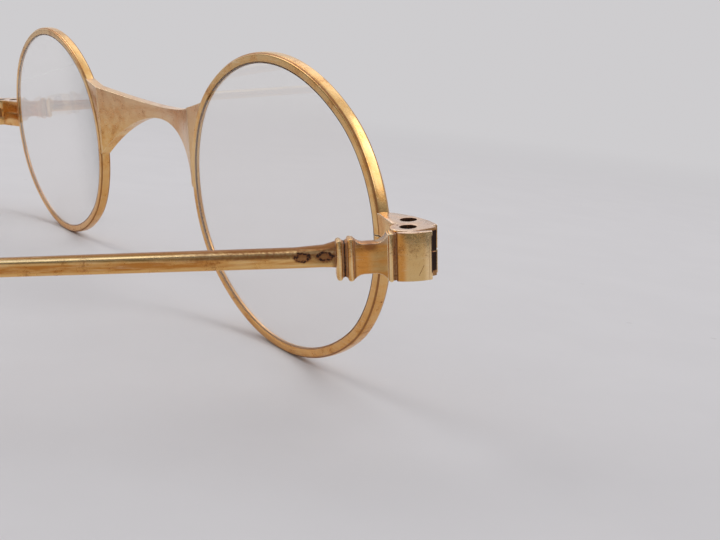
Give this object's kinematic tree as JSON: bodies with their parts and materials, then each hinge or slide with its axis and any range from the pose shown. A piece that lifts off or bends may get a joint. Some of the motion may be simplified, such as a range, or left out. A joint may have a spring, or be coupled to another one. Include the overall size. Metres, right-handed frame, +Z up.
{
  "type": "spectacles",
  "caption": "Antique oval-lens spectacles with wire rims, an arched nose bridge and straight folding temples on screwed barrel hinges, standing half open.",
  "frame": {"origin": "middle of the bounding box, at table height, with the pair standing on its rims and its two end pads as in the picture", "axes": "+X towards the wearer's left, -Y the way the wearer looks, +Y towards the ends of the temples, +Z up"},
  "size_m": [0.1112, 0.088, 0.0274],
  "materials": {
    "gilt": "worn, warm old gold with brown tarnish in the grooves",
    "steel": "dark, dull screw steel",
    "glass": "clear polished lens glass with a faint warm grey cast"
  },
  "bodies": {
    "front": {"right_rim": "gilt", "left_rim": "gilt", "right_lens": "glass", "left_lens": "glass", "bridge": "gilt", "right_upper_joint": "gilt", "right_lower_joint": "gilt", "left_upper_joint": "gilt", "left_lower_joint": "gilt", "right_closing_screw": "steel", "left_closing_screw": "steel", "right_hinge_screw": "steel", "left_hinge_screw": "steel"},
    "right_temple": {"right_temple_joint": "gilt", "right_shoulder": "gilt", "right_arm": "gilt", "right_pad": "gilt"},
    "left_temple": {"left_temple_joint": "gilt", "left_shoulder": "gilt", "left_arm": "gilt", "left_pad": "gilt"}
  },
  "joints": [
    {"name": "right_temple_fold", "type": "hinge", "parent": "front", "child": "right_temple", "pos_m": [-0.0535, -0.03957, 0.01408], "axis": [0, -0.1703, -0.9854], "range_deg": [-27, 63]},
    {"name": "left_temple_fold", "type": "hinge", "parent": "front", "child": "left_temple", "pos_m": [0.0535, -0.03957, 0.01408], "axis": [0, 0.1703, 0.9854], "range_deg": [-27, 53]}
  ]
}
